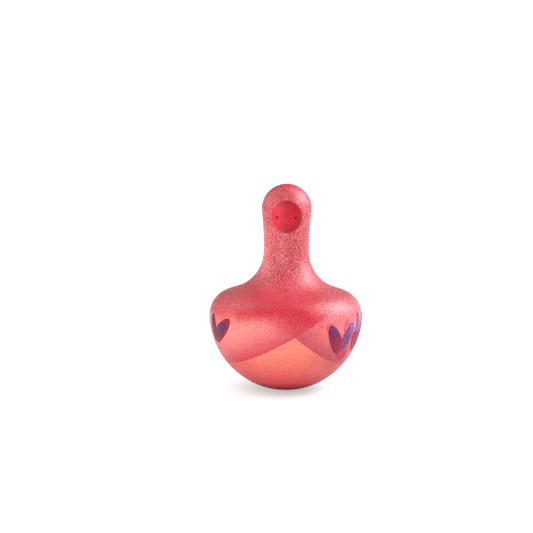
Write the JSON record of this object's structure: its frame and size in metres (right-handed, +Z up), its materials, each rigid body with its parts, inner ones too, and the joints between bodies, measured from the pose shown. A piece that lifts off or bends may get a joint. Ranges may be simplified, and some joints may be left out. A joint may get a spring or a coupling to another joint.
{
  "type": "roly-poly bird desk toy",
  "caption": "Self-righting bird figure: weighted round-bottomed body, broad shoulders, slim neck, domed head with a round face, paired hearts on the flanks, small resting flat.",
  "frame": {"origin": "centre of the small flat under the round bottom, at floor level", "axes": "+Z up through the neck and head, -Y the way the face looks, +X to the bird's left, which is the right-hand side seen from in front"},
  "size_m": [0.0807, 0.08, 0.1082],
  "materials": {
    "shell_lacquer": "moulded paper pulp under red-tinted satin lacquer",
    "board": "rolled grey-brown board",
    "dowel_wood": "plain turned beech, unfinished",
    "ballast_iron": "as cast, brushed with black paint",
    "felt": "grey wool felt",
    "bolt_steel": "zinc plated",
    "washer_steel": "zinc plated",
    "plug_wood": "beech under the same red lacquer",
    "face_paper": "thin red paper under satin lacquer",
    "eye_enamel": "black-brown enamelled steel pin",
    "rose_paper": "thin rose paper under satin lacquer",
    "crimson_paper": "thin crimson paper under satin lacquer",
    "violet_paper": "thin violet paper under satin lacquer"
  },
  "bodies": {
    "root": {"lower_bowl": "shell_lacquer", "upper_shell_front": "shell_lacquer", "upper_shell_back": "shell_lacquer", "joining_collar": "board", "neck_dowel": "dowel_wood", "ballast_weight": "ballast_iron", "ballast_pad": "felt", "ballast_bolt": "bolt_steel", "bolt_washer": "washer_steel", "base_plug": "plug_wood", "face_patch": "face_paper", "left_eye_pin": "eye_enamel", "right_eye_pin": "eye_enamel", "right_front_rose_heart": "rose_paper", "right_front_crimson_petal": "crimson_paper", "right_front_violet_heart": "violet_paper", "right_rear_rose_heart": "rose_paper", "right_rear_crimson_petal": "crimson_paper", "right_rear_violet_heart": "violet_paper", "left_front_rose_heart": "rose_paper", "left_front_crimson_heart": "crimson_paper", "left_front_violet_heart": "violet_paper", "left_rear_rose_heart": "rose_paper", "left_rear_crimson_petal": "crimson_paper", "left_rear_violet_heart": "violet_paper"}
  },
  "joints": []
}
